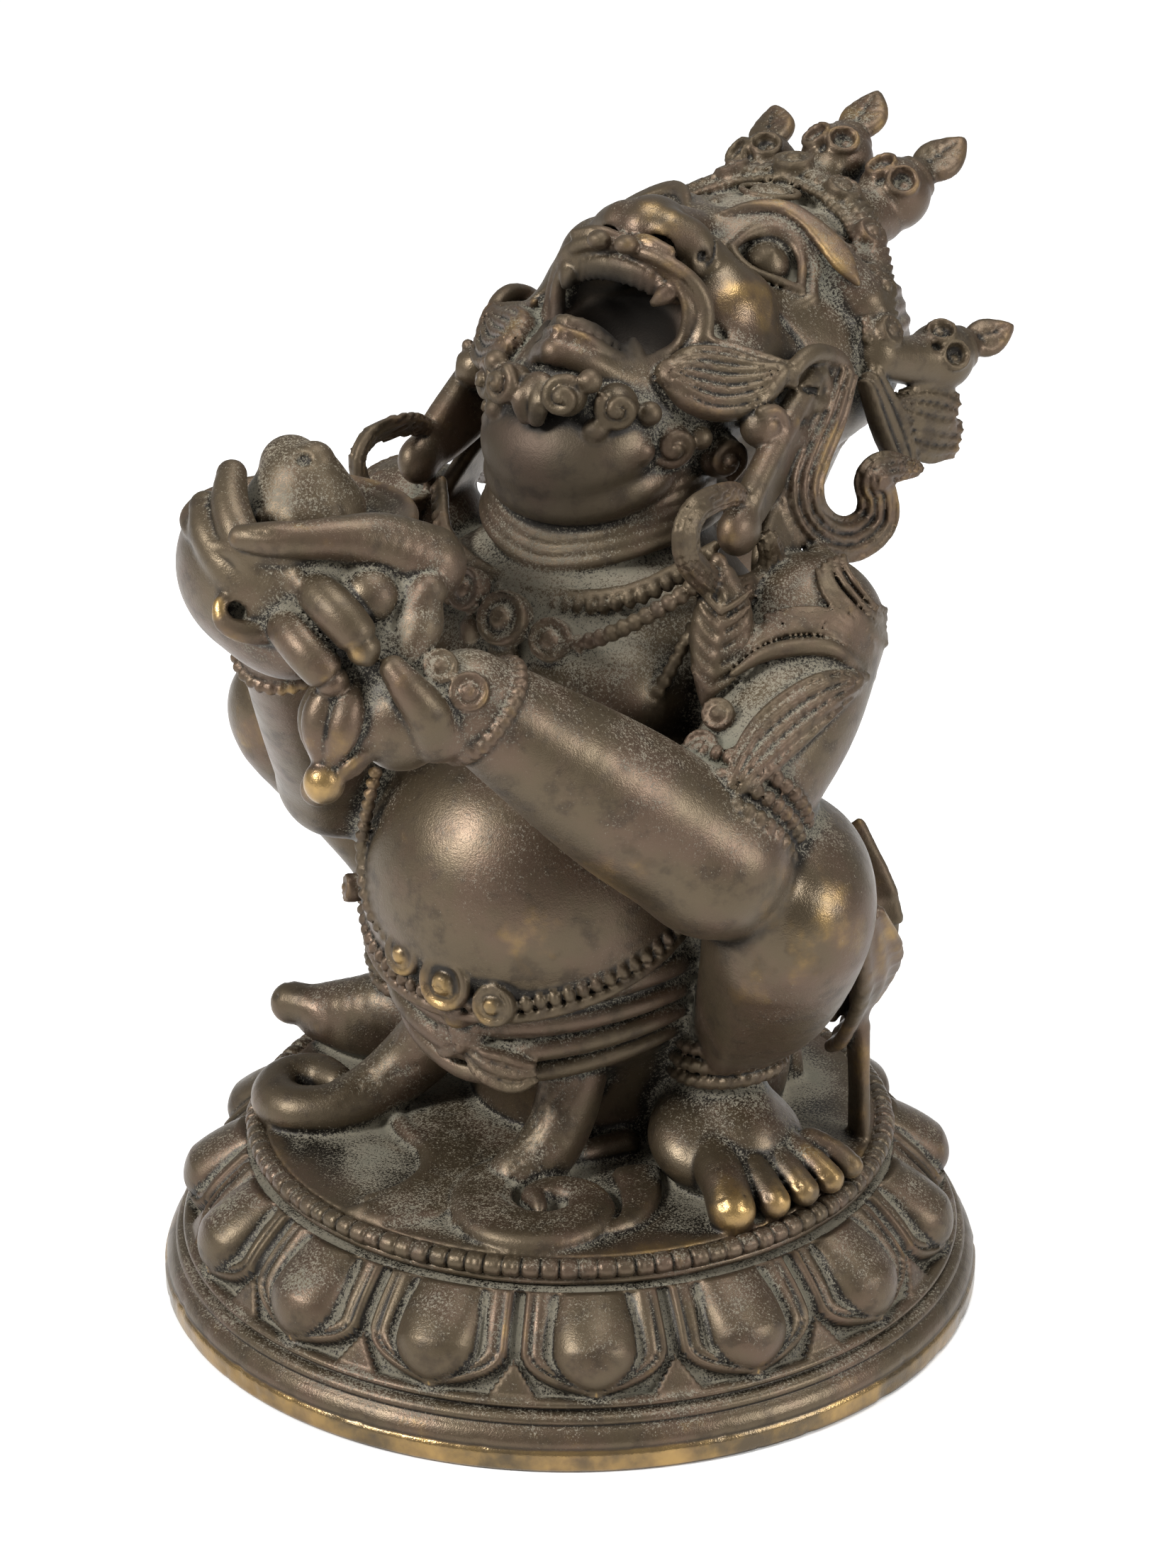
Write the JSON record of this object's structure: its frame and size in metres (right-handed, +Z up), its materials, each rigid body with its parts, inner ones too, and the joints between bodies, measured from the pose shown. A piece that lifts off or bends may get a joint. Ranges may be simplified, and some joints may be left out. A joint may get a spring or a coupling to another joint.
{
  "type": "vajradaka statue",
  "caption": "Squatting wrathful figure with upturned face and gaping hollow mouth, raising a bowl and a sceptre, on a beaded plate that rests on a round petalled base.",
  "frame": {"origin": "centre of the round underside of the base, on the surface it stands on", "axes": "+Z up, -Y towards the front the figure faces, +X towards its left hand"},
  "size_m": [0.104, 0.1282, 0.1374],
  "materials": {
    "figure_bronze": "dark brown patinated cast bronze, worn brassy on the high spots, grey-green dust in the recesses",
    "base_bronze": "dark brown patinated cast bronze, worn brassy on the petals and the rim"
  },
  "bodies": {
    "root": {"figure": "figure_bronze", "lotus_base": "base_bronze"}
  },
  "joints": []
}
